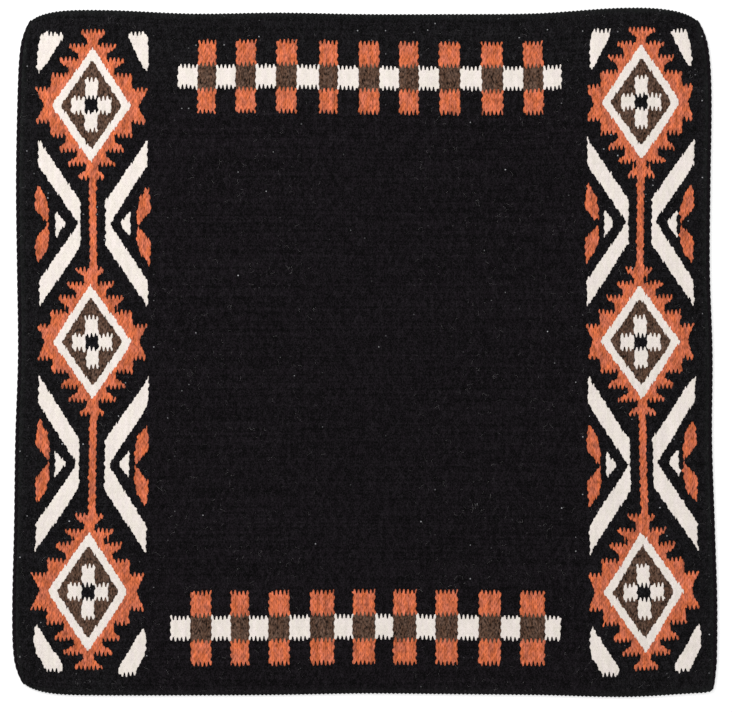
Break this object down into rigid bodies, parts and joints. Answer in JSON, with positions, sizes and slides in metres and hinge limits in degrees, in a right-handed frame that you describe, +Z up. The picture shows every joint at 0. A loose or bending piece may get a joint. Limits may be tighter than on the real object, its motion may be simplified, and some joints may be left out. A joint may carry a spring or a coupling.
{
  "type": "saddle blanket",
  "caption": "Thick woven wool saddle blanket, black with side panels of stepped starbursts and chevrons and checker bands at both ends, creasing along its middle to lie over a horse's back.",
  "frame": {"origin": "centre of the bounding box of the blanket laid flat, at its underside", "axes": "+Z up out of the upper face, +Y along the horse's back, +X across the crease towards the right-hand panel"},
  "size_m": [0.9099, 0.8873, 0.0065],
  "materials": {
    "black_wool": "matt black wool weft, faint ribs",
    "cream_wool": "matt undyed cream wool weft",
    "terracotta_wool": "matt terracotta wool weft",
    "brown_wool": "matt heathered dark brown wool weft"
  },
  "bodies": {
    "left_half": {"left_ground": "black_wool", "left_end_cord": "black_wool", "left_star_column": "terracotta_wool", "left_top_diamond_band": "cream_wool", "left_middle_diamond_band": "cream_wool", "left_bottom_diamond_band": "cream_wool", "left_top_diamond_core": "brown_wool", "left_middle_diamond_core": "brown_wool", "left_bottom_diamond_core": "brown_wool", "left_top_cross": "cream_wool", "left_middle_cross": "cream_wool", "left_bottom_cross": "cream_wool", "left_upper_inner_chevron": "cream_wool", "left_upper_outer_chevron": "cream_wool", "left_lower_inner_chevron": "cream_wool", "left_lower_outer_chevron": "cream_wool", "left_upper_inner_triangle": "cream_wool", "left_upper_outer_triangle": "cream_wool", "left_lower_inner_triangle": "cream_wool", "left_lower_outer_triangle": "cream_wool", "left_upper_inner_lozenge_pair": "terracotta_wool", "left_upper_outer_lozenge_pair": "terracotta_wool", "left_lower_inner_lozenge_pair": "terracotta_wool", "left_lower_outer_lozenge_pair": "terracotta_wool", "left_top_inner_slash": "cream_wool", "left_top_outer_slash": "cream_wool", "left_bottom_inner_slash": "cream_wool", "left_bottom_outer_slash": "cream_wool", "left_top_checker_band": "cream_wool", "left_bottom_checker_band": "cream_wool"},
    "right_half": {"right_ground": "black_wool", "right_end_cord": "black_wool", "right_star_column": "terracotta_wool", "right_top_diamond_band": "cream_wool", "right_middle_diamond_band": "cream_wool", "right_bottom_diamond_band": "cream_wool", "right_top_diamond_core": "brown_wool", "right_middle_diamond_core": "brown_wool", "right_bottom_diamond_core": "brown_wool", "right_top_cross": "cream_wool", "right_middle_cross": "cream_wool", "right_bottom_cross": "cream_wool", "right_upper_inner_chevron": "cream_wool", "right_upper_outer_chevron": "cream_wool", "right_lower_inner_chevron": "cream_wool", "right_lower_outer_chevron": "cream_wool", "right_upper_inner_triangle": "cream_wool", "right_upper_outer_triangle": "cream_wool", "right_lower_inner_triangle": "cream_wool", "right_lower_outer_triangle": "cream_wool", "right_upper_inner_lozenge_pair": "terracotta_wool", "right_upper_outer_lozenge_pair": "terracotta_wool", "right_lower_inner_lozenge_pair": "terracotta_wool", "right_lower_outer_lozenge_pair": "terracotta_wool", "right_top_inner_slash": "cream_wool", "right_top_outer_slash": "cream_wool", "right_bottom_inner_slash": "cream_wool", "right_bottom_outer_slash": "cream_wool", "right_top_checker_band": "cream_wool", "right_bottom_checker_band": "cream_wool"}
  },
  "joints": [
    {"name": "centre_crease", "type": "hinge", "parent": "left_half", "child": "right_half", "pos_m": [0, 0, 0.007], "axis": [0, -1, 0], "range_deg": [0, 180]}
  ]
}
